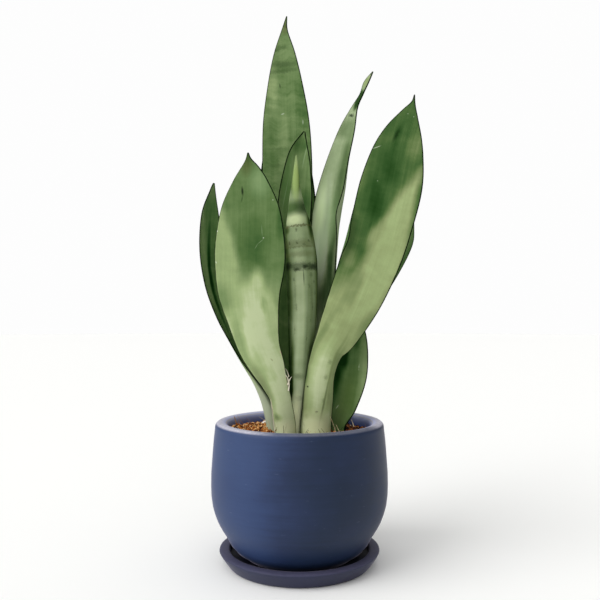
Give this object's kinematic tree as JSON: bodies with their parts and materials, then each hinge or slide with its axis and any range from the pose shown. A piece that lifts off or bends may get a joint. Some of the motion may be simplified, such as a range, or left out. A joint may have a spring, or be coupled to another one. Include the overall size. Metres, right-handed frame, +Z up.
{
  "type": "potted snake plant",
  "caption": "Snake plant with broad silvery green sword leaves round a rolled young leaf, in a round matt blue ceramic pot on its saucer.",
  "frame": {"origin": "middle of the saucer's flat underside", "axes": "+Z up through the pot, -Y to the front, +X to the right seen from the front"},
  "size_m": [0.1933, 0.16, 0.5061],
  "materials": {
    "pot_ceramic": "matt blue",
    "saucer_ceramic": "matt blue, worn brown at the rim",
    "soil": "loose coir fibre and bark",
    "silver_leaf": "satin silvery green, dark margin",
    "mid_leaf": "satin mid green, mottled, dark margin",
    "dark_leaf": "satin dark green, dark margin"
  },
  "bodies": {
    "root": {"saucer": "saucer_ceramic", "pot": "pot_ceramic", "potting_soil": "soil", "leaf_tall_back": "mid_leaf", "leaf_back_centre": "mid_leaf", "leaf_behind_right": "dark_leaf", "leaf_narrow_twisted": "silver_leaf", "leaf_inner_cup": "dark_leaf", "leaf_rolled_spear": "silver_leaf", "leaf_low_right": "dark_leaf", "leaf_far_left": "dark_leaf", "leaf_broad_left": "silver_leaf", "leaf_broad_right": "silver_leaf"}
  },
  "joints": []
}
